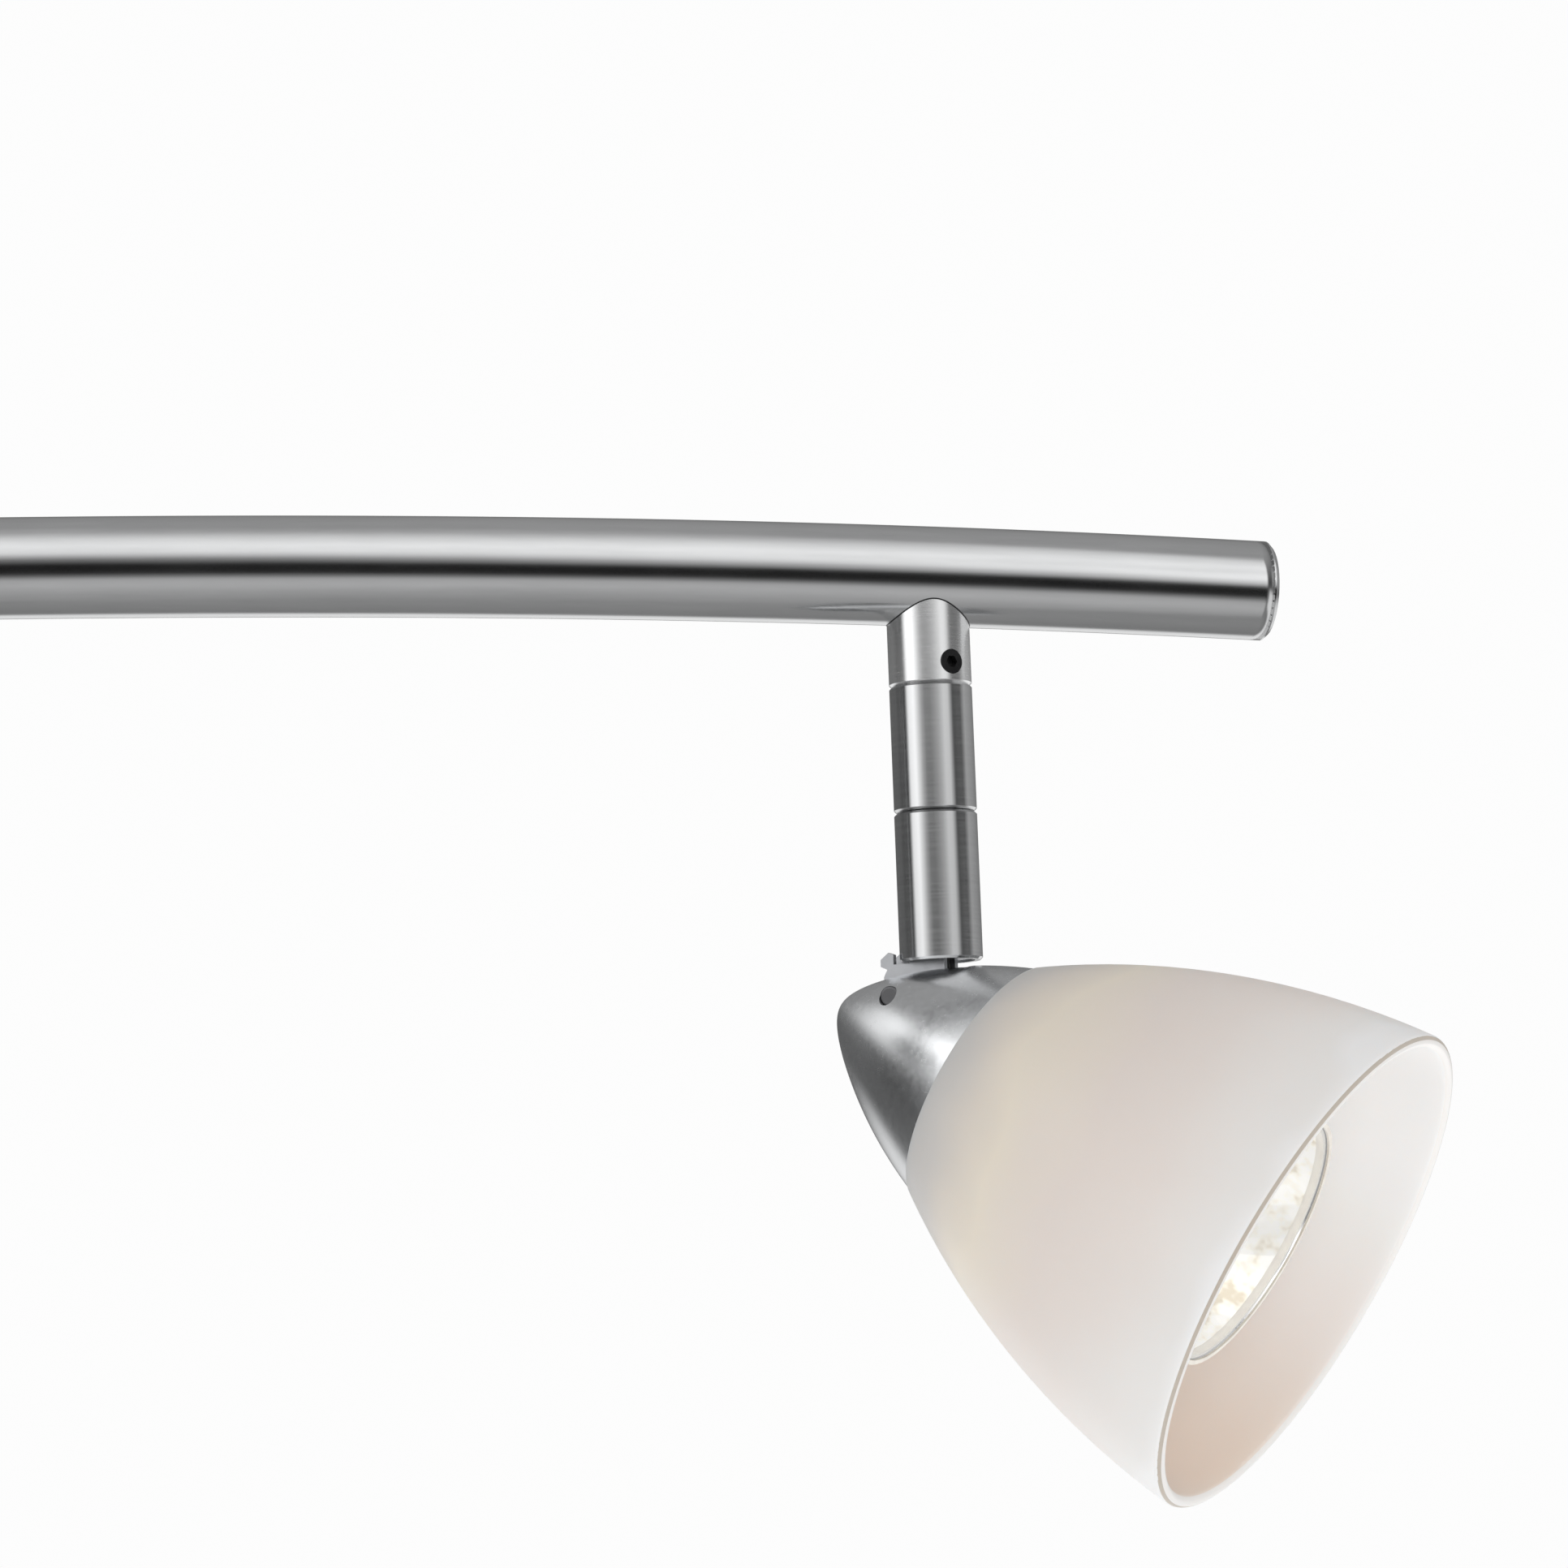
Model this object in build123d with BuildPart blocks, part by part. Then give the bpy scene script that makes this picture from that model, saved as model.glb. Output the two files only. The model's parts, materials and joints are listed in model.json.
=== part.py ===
from build123d import *
from math import cos, sin, radians, pi
import os

# Ceiling bar light: a wavy tube under a round canopy carries three stems, and each stem
# carries a glass spot head that swivels and tilts.
# Millimetres. The ceiling is z = 0, the bar runs along X and the heads aim toward -Y.

os.makedirs("parts", exist_ok=True)

# Crossbar, canopy and post
CANOPY_R = 63.5
CANOPY_H = 24.0
CANOPY_WALL = 1.2
STRAP_LENGTH = 112.0
STRAP_WIDTH = 18.0
STRAP_THICK = 2.0
BOX_SLOT_X = 44.45
BOX_SLOT_LENGTH = 12.0
BOX_SLOT_WIDTH = 4.8
STUD_X = 30.0
STUD_R = 2.0
GROUND_X = -15.0

# Bar
BAR_R = 9.5
BAR_WALL = 1.2
BAR_DROP = 66.0
BAR_HALF = 366.5
BAR_SWAY = 38.2
BAR_WAVE = 2 * pi / 1321
BAR_CROWN = 6854.0
BAR_RUN = 60
BAR_BEND = 1100.0
CAP_THICK = 1.1
CAP_PLUG = 6.0

# Stem, measured down from the bar's axis
STEM_R = 7.8
COLLAR_END = 21.1
SWIVEL_SEAM = 44.9
STEM_END = 73.0
SEAM_GAP = 0.2
EDGE = 0.45
NIPPLE_R = 5.0
NIPPLE_BORE = 3.5
NIPPLE_TOP = 1.9
NIPPLE_END = 30.0
NUT_R = 6.4
NUT_FACE = 5.0
NUT_THICK = 2.9
THREAD_FIT = 0.05
SPIGOT_R = 3.9
SPIGOT_BORE = 2.2
LIP_TOP = 42.0
RING_THICK = 0.8
SET_SCREW_DROP = 17.3
SET_SCREW_R = 2.3
SET_SCREW_AIM = -69.3
LEAD_R = 1.05
LEAD_APART = 2.2
LEAD_INLET = 12.0
CONNECTOR_R = 5.5
CONNECTOR_LENGTH = 17.0

# Hinge, in the head's upright plane: t forward from the stem's axis
PIN_T = -6.65
PIN_DROP = 79.7
PIN_R = 1.5
PIN_HEAD_R = 1.9
PIN_HALF = 10.4
PIN_HEAD_THICK = 0.8
PIN_HEAD_ROUND = 0.45
EAR_INNER = 2.0
EAR_THICK = 1.5
EAR_ROUND = 4.0
PLUG_R = 6.28
PLUG_HEIGHT = 7.0
SLOT_HALF = 4.8

# Head, measured back from the plane of the glass rim along the head's axis
PIN_BACK = 93.1
PIN_OFFSET = 7.1
SHADE_LENGTH = 72.2
SHADE_RIM_R = 48.7
SHADE_MID_R = 41.7
SHADE_NECK_R = 24.8
SHADE_WALL = 2.5
SHADE_HOLE_R = 16.8
CUP_FRONT = 72.3
CUP_FRONT_R = 24.3
CARRIER_R = 20.8
CARRIER_BACK = 75.5
SPIGOT_FRONT = 65.0
SPIGOT_OUT_R = 16.5
SOCKET_R = 14.2
SOCKET_FRONT = 58.4
SOCKET_BACK = 74.4
HEAD_LEAD_R = 1.5
LAMP_FRONT = 11.8
LAMP_R = 25.2
LAMP_WALL = 1.2
LAMP_NECK = 44.0
LAMP_NECK_R = 11.2
LAMP_END = 58.2
LAMP_PIN_SPAN = 10.0

# name: (place along the bar, compass heading, tilt below level)
HEADS = {
    "left": (-300.0, -180 + 33.71, 31.53),
    "middle": (0.0, -90.0, 31.53),
    "right": (300.0, -33.71, 31.53),
}


def save(made, name):
    made.part.label = name
    export_step(made.part, f"parts/{name}.step")


def bar_point(x):
    return Vector(x, -BAR_SWAY * sin(BAR_WAVE * x), -BAR_DROP - x**2 / (2 * BAR_CROWN))


def bar_along(x):
    slope = Vector(1, -BAR_SWAY * BAR_WAVE * cos(BAR_WAVE * x), -x / BAR_CROWN)
    return slope.normalized()


def bar_corner(x):
    # The corners stand outside the curve, so that each straight run touches it at its middle.
    bend = Vector(0, BAR_SWAY * BAR_WAVE**2 * sin(BAR_WAVE * x), -1 / BAR_CROWN)
    return bar_point(x) - bend * (BAR_RUN**2 / 8)


def upright(x, heading):
    # Origin on the bar's axis, X toward the heading, Z up.
    aim = Vector(cos(radians(heading)), sin(radians(heading)), 0)
    return Plane(origin=bar_point(x), x_dir=aim, z_dir=(0, 0, 1))


def side_of(stem):
    # Cuts the stem lengthways: X forward, Y up.
    return Plane(origin=stem.origin, x_dir=stem.x_dir, z_dir=-stem.y_dir)


def head_of(stem, tilt):
    # Cuts the head lengthways: X back from the rim along its axis, Y across it.
    lean, rise = sin(radians(tilt)), cos(radians(tilt))
    back = stem.z_dir * lean - stem.x_dir * rise
    across = stem.x_dir * lean + stem.z_dir * rise
    pin = stem.origin + stem.x_dir * PIN_T - stem.z_dir * PIN_DROP
    rim = pin - back * PIN_BACK - across * PIN_OFFSET
    return Plane(origin=rim, x_dir=back, z_dir=stem.y_dir)


def spin(head):
    return Axis(head.origin, head.x_dir)


def bore_along(origin, direction, radius, length, both=False):
    with BuildSketch(Plane(origin=origin, z_dir=direction)) as round_hole:
        Circle(radius)
    extrude(round_hole.sketch, amount=length, both=both, mode=Mode.SUBTRACT)


# ---- Ceiling side ----


def mounting_bar():
    with BuildPart() as strap:
        with BuildSketch(Plane.XY.offset(-STRAP_THICK)):
            RectangleRounded(STRAP_LENGTH, STRAP_WIDTH, 4)
            with Locations((BOX_SLOT_X, 0), (-BOX_SLOT_X, 0)):
                SlotOverall(BOX_SLOT_LENGTH, BOX_SLOT_WIDTH, mode=Mode.SUBTRACT)
            with Locations((STUD_X, 0), (-STUD_X, 0), (GROUND_X, 0)):
                Circle(STUD_R, mode=Mode.SUBTRACT)
            Circle(NIPPLE_R + 0.3, mode=Mode.SUBTRACT)
        extrude(amount=STRAP_THICK)
    save(strap, "mounting_bar")


def ground_screw():
    with BuildPart() as screw:
        with BuildSketch(Plane.XY.offset(-STRAP_THICK)):
            with Locations((GROUND_X, 0)):
                Circle(3.6)
        extrude(amount=-2.2)
        with BuildSketch(Plane.XY.offset(-STRAP_THICK)):
            with Locations((GROUND_X, 0)):
                Circle(STUD_R)
        extrude(amount=STRAP_THICK)
        with BuildSketch(Plane.XY.offset(-STRAP_THICK - 2.2)):
            with Locations((GROUND_X, 0)):
                Rectangle(5.2, 0.9)
        extrude(amount=1.0, mode=Mode.SUBTRACT)
    save(screw, "ground_screw")


def canopy_studs():
    with BuildPart() as studs:
        with BuildSketch():
            with Locations((STUD_X, 0), (-STUD_X, 0)):
                Circle(STUD_R)
        extrude(amount=-CANOPY_H - 5)
    save(studs, "canopy_studs")


def canopy_cap_nuts():
    with BuildPart() as nuts:
        with BuildSketch(Plane.XY.offset(-CANOPY_H)):
            with Locations((STUD_X, 0), (-STUD_X, 0)):
                Circle(5.0)
        extrude(amount=-8)
        fillet(nuts.faces().sort_by(Axis.Z)[:2].edges(), 2.5)
        with BuildSketch(Plane.XY.offset(-CANOPY_H)):
            with Locations((STUD_X, 0), (-STUD_X, 0)):
                Circle(STUD_R)
        extrude(amount=-5.2, mode=Mode.SUBTRACT)
    save(nuts, "canopy_cap_nuts")


def canopy():
    corner = 7.0
    inner = corner - CANOPY_WALL
    with BuildPart() as dish:
        with BuildSketch(Plane.XZ):
            with BuildLine():
                Line((0, -CANOPY_H), (CANOPY_R - corner, -CANOPY_H))
                RadiusArc((CANOPY_R - corner, -CANOPY_H), (CANOPY_R, corner - CANOPY_H), -corner)
                Line((CANOPY_R, corner - CANOPY_H), (CANOPY_R, 0))
                Line((CANOPY_R, 0), (CANOPY_R - CANOPY_WALL, 0))
                Line((CANOPY_R - CANOPY_WALL, 0), (CANOPY_R - CANOPY_WALL, corner - CANOPY_H))
                RadiusArc(
                    (CANOPY_R - CANOPY_WALL, corner - CANOPY_H),
                    (CANOPY_R - corner, CANOPY_WALL - CANOPY_H),
                    inner,
                )
                Line((CANOPY_R - corner, CANOPY_WALL - CANOPY_H), (0, CANOPY_WALL - CANOPY_H))
                Line((0, CANOPY_WALL - CANOPY_H), (0, -CANOPY_H))
            make_face()
        revolve(axis=Axis.Z)
        with BuildSketch(Plane.XY.offset(-CANOPY_H)):
            Circle(NIPPLE_R + 0.2)
            with Locations((STUD_X, 0), (-STUD_X, 0)):
                Circle(STUD_R + 0.2)
        extrude(amount=CANOPY_WALL, mode=Mode.SUBTRACT)
    save(dish, "canopy")


def post():
    below = bar_point(0)
    with BuildPart() as tube:
        with BuildSketch(Plane.XY.offset(-CANOPY_H)):
            Circle(STEM_R)
            Circle(NIPPLE_R + THREAD_FIT, mode=Mode.SUBTRACT)
        extrude(amount=-(BAR_DROP - CANOPY_H))
        chamfer(tube.faces().sort_by(Axis.Z)[-1].outer_wire().edges(), EDGE)
        with BuildSketch(Plane(origin=below, z_dir=bar_along(0))):
            Circle(BAR_R + THREAD_FIT)
        extrude(amount=STEM_R * 2, both=True, mode=Mode.SUBTRACT)
        centre = below + Vector(0, 0, SET_SCREW_DROP)
        aim = set_screw_aim()
        bore_along(centre, aim, SET_SCREW_R + THREAD_FIT, STEM_R * 2)
    save(tube, "post")


# ---- Bar ----


def bar_ends():
    last = BAR_HALF - CAP_THICK
    middle = BAR_RUN * (last // BAR_RUN)
    run = last - middle
    return [bar_point(-middle) - bar_along(-middle) * run, bar_point(middle) + bar_along(middle) * run]


def bar_tube():
    start, finish = bar_ends()
    half = BAR_RUN / 2
    corners = [bar_corner(half * n) for n in range(-11, 12, 2)]
    with BuildPart() as tube:
        with BuildLine() as route:
            FilletPolyline(start, *corners, finish, radius=BAR_BEND)
        with BuildSketch(Plane(origin=start, z_dir=bar_along(-BAR_RUN * 6))):
            Circle(BAR_R)
            Circle(BAR_R - BAR_WALL, mode=Mode.SUBTRACT)
        sweep(path=route.line)
        for x, _, _ in HEADS.values():
            bore_along(bar_point(x), (0, 0, -1), NIPPLE_R + 0.2, BAR_R * 2)
        bore_along(bar_point(0), (0, 0, 1), NIPPLE_R + 0.2, BAR_R * 2)
    save(tube, "bar_tube")


def end_caps():
    start, finish = bar_ends()
    with BuildPart() as caps:
        for end, out in ((start, -bar_along(-BAR_RUN * 6)), (finish, bar_along(BAR_RUN * 6))):
            with BuildSketch(Plane(origin=end, z_dir=out)):
                Circle(BAR_R)
            extrude(amount=CAP_THICK)
            rim = caps.edges().filter_by(GeomType.CIRCLE).sort_by_distance(end + out * CAP_THICK)
            chamfer(rim[:1], CAP_THICK * 0.7)
            with BuildSketch(Plane(origin=end, z_dir=-out)):
                Circle(BAR_R - BAR_WALL - 0.02)
                Circle(BAR_R - BAR_WALL - 1.5, mode=Mode.SUBTRACT)
            extrude(amount=CAP_PLUG)
    save(caps, "end_caps")


def threaded_nipples():
    with BuildPart() as nipples:
        for x, _, _ in HEADS.values():
            top = bar_point(x).Z - NIPPLE_TOP
            with BuildSketch(Plane(origin=(x, bar_point(x).Y, top))):
                Circle(NIPPLE_R)
                Circle(NIPPLE_BORE, mode=Mode.SUBTRACT)
            extrude(amount=NIPPLE_TOP - NIPPLE_END)
        with BuildSketch(Plane.XY.offset(NIPPLE_TOP - BAR_DROP)):
            Circle(NIPPLE_R)
            Circle(NIPPLE_BORE, mode=Mode.SUBTRACT)
        extrude(amount=BAR_DROP - NIPPLE_TOP - CANOPY_H + 7)
    save(nipples, "threaded_nipples")


def nipple_nuts():
    with BuildPart() as nuts:
        for x, _, _ in HEADS.values():
            with BuildSketch(Plane(origin=bar_point(x) - Vector(0, 0, NUT_FACE))):
                Circle(NUT_R)
                Circle(NIPPLE_R + 0.02, mode=Mode.SUBTRACT)
            extrude(amount=NUT_THICK)
        with BuildSketch(Plane.XY.offset(NUT_FACE - BAR_DROP)):
            Circle(NUT_R)
            Circle(NIPPLE_R + 0.02, mode=Mode.SUBTRACT)
        extrude(amount=-NUT_THICK)
    save(nuts, "nipple_nuts")


def canopy_nut():
    with BuildPart() as nut:
        with BuildSketch(Plane.XY.offset(CANOPY_WALL - CANOPY_H)):
            RegularPolygon(8.0, 6)
            Circle(NIPPLE_R + 0.02, mode=Mode.SUBTRACT)
        extrude(amount=3.5)
    save(nut, "canopy_nut")


def set_screw_aim():
    return Vector(cos(radians(SET_SCREW_AIM)), sin(radians(SET_SCREW_AIM)), 0)


def set_screws():
    aim = set_screw_aim()
    centres = [bar_point(x) - Vector(0, 0, SET_SCREW_DROP) for x, _, _ in HEADS.values()]
    centres.append(bar_point(0) + Vector(0, 0, SET_SCREW_DROP))
    with BuildPart() as screws:
        for centre in centres:
            with BuildSketch(Plane(origin=centre + aim * (NIPPLE_R + 0.05), z_dir=aim)):
                Circle(SET_SCREW_R)
            extrude(amount=2.65)
            with BuildSketch(Plane(origin=centre + aim * (NIPPLE_R + 2.7), z_dir=-aim)):
                RegularPolygon(1.2, 6)
            extrude(amount=1.6, mode=Mode.SUBTRACT)
    save(screws, "set_screws")


def lead_turn(x):
    # Which side of the post the lead comes down, and where it goes above it.
    side = (x > 0) - (x < 0)
    return side, Vector(side * 20, 24 if side == 0 else 15, 0)


def supply_leads():
    # One lead to each stem: out of the canopy, down the post, along the bar, into the stem.
    lift = Vector(0, 0, 0.2)
    with BuildPart() as leads:
        for x, _, _ in HEADS.values():
            side, away = lead_turn(x)
            drop = Vector(side * LEAD_APART, 0, -LEAD_INLET)
            points = [drop + away, drop]
            if side:
                knee = bar_point(0) + bar_along(0) * (side * LEAD_APART) + lift
                points[0] += Vector(0, knee.Y, 0)
                points[1] += Vector(0, knee.Y, 0)
                points.append(knee)
                inner = range(BAR_RUN // 2, int(abs(x)), BAR_RUN)
                points += [bar_corner(side * n) + lift for n in inner]
                points.append(bar_point(x) + lift)
            points.append(bar_point(x) - Vector(0, 0, SWIVEL_SEAM - 6))
            with BuildLine() as route:
                FilletPolyline(*points, radius=2.5)
            with BuildSketch(Plane(origin=route.line @ 0, z_dir=route.line % 0)):
                Circle(LEAD_R)
            sweep(path=route.line)
    save(leads, "supply_leads")


def wire_connectors():
    with BuildPart() as cones:
        for x, _, _ in HEADS.values():
            side, away = lead_turn(x)
            start = Vector(side * LEAD_APART, 0, -LEAD_INLET) + away * 0.7
            if side:
                start += Vector(0, (bar_along(0) * (side * LEAD_APART)).Y, 0)
            out = away.normalized()
            with BuildSketch(Plane(origin=start, z_dir=out)):
                Circle(CONNECTOR_R)
            extrude(amount=CONNECTOR_LENGTH, taper=6)
            bore_along(start, out, LEAD_R + 0.05, away.length * 0.3 + 0.5)
    save(cones, "wire_connectors")


# ---- Stems ----


def collar(name, x):
    with BuildPart() as sleeve:
        with BuildSketch(Plane(origin=bar_point(x))):
            Circle(STEM_R)
            Circle(NIPPLE_R + THREAD_FIT, mode=Mode.SUBTRACT)
        extrude(amount=-COLLAR_END)
        chamfer(sleeve.faces().sort_by(Axis.Z)[0].outer_wire().edges(), EDGE)
        with BuildSketch(Plane(origin=bar_point(x), z_dir=bar_along(x))):
            Circle(BAR_R + THREAD_FIT)
        extrude(amount=STEM_R * 2, both=True, mode=Mode.SUBTRACT)
        centre = bar_point(x) - Vector(0, 0, SET_SCREW_DROP)
        bore_along(centre, set_screw_aim(), SET_SCREW_R + THREAD_FIT, STEM_R * 2)
    save(sleeve, f"collar_{name}")


def upper_stem(name, stem):
    with BuildPart() as bush:
        with BuildSketch(stem.offset(-SWIVEL_SEAM)):
            Circle(STEM_R)
        extrude(amount=SWIVEL_SEAM - COLLAR_END)
        chamfer(bush.edges().filter_by(GeomType.CIRCLE), EDGE)
        with BuildSketch(stem.offset(-LIP_TOP)):
            Circle(NIPPLE_R + THREAD_FIT)
        extrude(amount=LIP_TOP, mode=Mode.SUBTRACT)
        with BuildSketch(stem.offset(-SWIVEL_SEAM)):
            Circle(SPIGOT_R + THREAD_FIT)
        extrude(amount=LIP_TOP, mode=Mode.SUBTRACT)
        # Stop: the swivel ring's tab meets this key at either end of the turn.
        with BuildSketch(stem.offset(-LIP_TOP)):
            with Locations((4.8, 0)):
                Rectangle(0.7, 0.9)
        extrude(amount=1.5)
    save(bush, f"upper_stem_{name}")


def lower_stem(name, stem):
    top = SWIVEL_SEAM + SEAM_GAP
    with BuildPart() as tube:
        with BuildSketch(stem.offset(-STEM_END)):
            Circle(STEM_R)
        extrude(amount=STEM_END - top)
        chamfer(tube.edges().filter_by(GeomType.CIRCLE), EDGE)
        with BuildSketch(stem.offset(-top)):
            Circle(SPIGOT_R)
        extrude(amount=top - LIP_TOP + 2.4)
        with BuildSketch(stem.offset(-STEM_END)):
            Circle(PLUG_R + 0.02)
        extrude(amount=STEM_END - top - 4, mode=Mode.SUBTRACT)
        with BuildSketch(stem.offset(-STEM_END)):
            Circle(SPIGOT_BORE)
        extrude(amount=STEM_END, mode=Mode.SUBTRACT)
        with BuildSketch(stem.offset(-LIP_TOP + 0.1)):
            Circle(SPIGOT_R + 1)
            Circle(SPIGOT_R - 0.5, mode=Mode.SUBTRACT)
        extrude(amount=RING_THICK, mode=Mode.SUBTRACT)
    save(tube, f"lower_stem_{name}")


def swivel_ring(name, stem):
    with BuildPart() as ring:
        with BuildSketch(stem.offset(-LIP_TOP + 0.12)):
            Circle(4.35)
            with Locations((-4.3, 0)):
                Rectangle(1.1, 0.9)
            Circle(SPIGOT_R - 0.48, mode=Mode.SUBTRACT)
        extrude(amount=RING_THICK - 0.04)
    save(ring, f"swivel_ring_{name}")


def hinge_bracket(name, stem):
    side = side_of(stem)
    under = -STEM_END - 0.3
    with BuildPart() as bracket:
        with BuildSketch(stem.offset(-STEM_END + 0.4)):
            Circle(PLUG_R)
            Circle(SPIGOT_BORE, mode=Mode.SUBTRACT)
        extrude(amount=PLUG_HEIGHT)
        for sign in (-1, 1):
            near = EAR_INNER if sign > 0 else -EAR_INNER - EAR_THICK
            with BuildSketch(side.offset(near)):
                with BuildLine():
                    Polyline(
                        (-5.0, under + 1.2),
                        (-5.0, under),
                        (-8.3, under),
                        (-8.3, under + 1.9),
                        (-9.3, under + 2.3),
                        (-10.9, under + 1.0),
                        (-10.9, under - 0.3),
                        (-9.6, under - 0.9),
                        (-10.3, under - 2.2),
                        (PIN_T - EAR_ROUND, -PIN_DROP),
                    )
                    ThreePointArc(
                        (PIN_T - EAR_ROUND, -PIN_DROP),
                        (PIN_T, -PIN_DROP - EAR_ROUND),
                        (PIN_T + EAR_ROUND * 0.8, -PIN_DROP - EAR_ROUND * 0.6),
                    )
                    Polyline(
                        (PIN_T + EAR_ROUND * 0.8, -PIN_DROP - EAR_ROUND * 0.6),
                        (1.9, -76.2),
                        (1.9, under + 1.2),
                        (-5.0, under + 1.2),
                    )
                make_face()
                with Locations((PIN_T, -PIN_DROP)):
                    Circle(PIN_R + THREAD_FIT, mode=Mode.SUBTRACT)
            extrude(amount=EAR_THICK)
    save(bracket, f"hinge_bracket_{name}")


# ---- Heads ----


def pin_centre(head):
    return head.from_local_coords((PIN_BACK, PIN_OFFSET, 0))


def hinge_pin(name, head):
    with BuildPart() as pin:
        with BuildSketch(Plane(origin=pin_centre(head), z_dir=head.z_dir)):
            Circle(PIN_R)
        extrude(amount=PIN_HALF, both=True)
        for out in (head.z_dir, -head.z_dir):
            end = pin_centre(head) + out * (PIN_HALF - PIN_HEAD_THICK)
            with BuildSketch(Plane(origin=end, z_dir=out)):
                Circle(PIN_HEAD_R)
            extrude(amount=PIN_HEAD_THICK)
            fillet(pin.faces().sort_by(Axis(end, out))[-1].edges(), PIN_HEAD_ROUND)
    save(pin, f"hinge_pin_{name}")


def cup(name, head, leading):
    with BuildPart() as shell:
        with BuildSketch(head):
            with BuildLine():
                Line((CUP_FRONT, 0), (CUP_FRONT, CUP_FRONT_R))
                ThreePointArc((CUP_FRONT, CUP_FRONT_R), (90.4, 15.1), (103.4, 4.5))
                Line((103.4, 4.5), (105.5, 0))
                Line((105.5, 0), (CUP_FRONT, 0))
            make_face()
        revolve(axis=spin(head))
        with BuildSketch(head):
            with BuildLine():
                Polyline(
                    (CUP_FRONT, 0),
                    (CUP_FRONT, CARRIER_R + THREAD_FIT),
                    (CARRIER_BACK + 0.1, CARRIER_R + THREAD_FIT),
                    (CARRIER_BACK + 0.1, CARRIER_R - 0.6),
                    (82, 16.4),
                    (82, 0),
                    (CUP_FRONT, 0),
                )
            make_face()
        revolve(axis=spin(head), mode=Mode.SUBTRACT)
        # Slot for the bracket: it cuts away the nose behind a slanting floor.
        with BuildSketch(head):
            with BuildLine():
                Polyline((83.5, 20.26), (98, -22.08), (115, -22.08), (115, 20.26), (83.5, 20.26))
            make_face()
        extrude(amount=SLOT_HALF, both=True, mode=Mode.SUBTRACT)
        bore_along(pin_centre(head), head.z_dir, PIN_R, 20, both=True)
        for out in (head.z_dir, -head.z_dir):
            inner = PIN_HALF - PIN_HEAD_THICK
            bore_along(pin_centre(head) + out * inner, out, PIN_HEAD_R, 10)
        with BuildSketch(Plane(origin=leading.line @ 0.0, z_dir=leading.line % 0.0)):
            Circle(HEAD_LEAD_R + 0.3)
        sweep(path=leading.line, mode=Mode.SUBTRACT)
    save(shell, f"cup_{name}")


def lead_route(stem):
    # Down the middle of the stem, between the bracket's ears and into the back of the cup.
    side = side_of(stem)
    places = ((0, -SWIVEL_SEAM + 4), (0, -75.5), (3.4, -81.5), (5.6, -92.9))
    with BuildLine() as route:
        FilletPolyline(*[side.from_local_coords((t, z, 0)) for t, z in places], radius=6)
    return route


def head_lead(name, route):
    with BuildPart() as lead:
        with BuildSketch(Plane(origin=route.line @ 0, z_dir=route.line % 0)):
            Circle(HEAD_LEAD_R)
        sweep(path=route.line)
    save(lead, f"head_lead_{name}")


def socket_carrier(name, head):
    with BuildPart() as carrier:
        with BuildSketch(head):
            with BuildLine():
                Polyline(
                    (SPIGOT_FRONT, SOCKET_R + THREAD_FIT),
                    (SPIGOT_FRONT, SPIGOT_OUT_R),
                    (CUP_FRONT + 0.05, SPIGOT_OUT_R),
                    (CUP_FRONT + 0.05, CARRIER_R),
                    (CARRIER_BACK, CARRIER_R),
                    (CARRIER_BACK, 2.5),
                    (SOCKET_BACK + 0.1, 2.5),
                    (SOCKET_BACK + 0.1, SOCKET_R + THREAD_FIT),
                    (SPIGOT_FRONT, SOCKET_R + THREAD_FIT),
                )
            make_face()
        revolve(axis=spin(head))
        # Clearance for the lead, which comes in above the axis.
        with BuildSketch(Plane(origin=head.from_local_coords((SOCKET_BACK, 2.3, 0)), z_dir=head.x_dir)):
            Circle(2.9)
        extrude(amount=3, mode=Mode.SUBTRACT)
    save(carrier, f"socket_carrier_{name}")


def shade(name, head):
    lip = SHADE_WALL / 2
    with BuildPart() as glass:
        with BuildSketch(head):
            with BuildLine():
                ThreePointArc(
                    (lip, SHADE_RIM_R - 0.15), (SHADE_LENGTH / 2, SHADE_MID_R), (SHADE_LENGTH, SHADE_NECK_R)
                )
                Polyline(
                    (SHADE_LENGTH, SHADE_NECK_R),
                    (SHADE_LENGTH, SHADE_HOLE_R),
                    (SHADE_LENGTH - 2.8, SHADE_HOLE_R),
                    (SHADE_LENGTH - 2.8, SHADE_NECK_R - 1.2),
                )
                ThreePointArc(
                    (SHADE_LENGTH - 2.8, SHADE_NECK_R - 1.2),
                    (SHADE_LENGTH / 2, SHADE_MID_R - SHADE_WALL * 1.05),
                    (lip, SHADE_RIM_R - 0.15 - SHADE_WALL),
                )
                ThreePointArc(
                    (lip, SHADE_RIM_R - 0.15 - SHADE_WALL),
                    (0, SHADE_RIM_R - 0.05 - lip),
                    (lip, SHADE_RIM_R - 0.15),
                )
            make_face()
        revolve(axis=spin(head))
    save(glass, f"shade_{name}")


def shade_retainer(name, head):
    with BuildPart() as ring:
        with BuildSketch(head):
            with BuildLine():
                Polyline(
                    (SHADE_LENGTH - 6.2, SPIGOT_OUT_R + 0.05),
                    (SHADE_LENGTH - 6.2, 19.5),
                    (SHADE_LENGTH - 4.6, 21.6),
                    (SHADE_LENGTH - 2.85, 21.6),
                    (SHADE_LENGTH - 2.85, SPIGOT_OUT_R + 0.05),
                    (SHADE_LENGTH - 6.2, SPIGOT_OUT_R + 0.05),
                )
            make_face()
        revolve(axis=spin(head))
    save(ring, f"shade_retainer_{name}")


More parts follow.
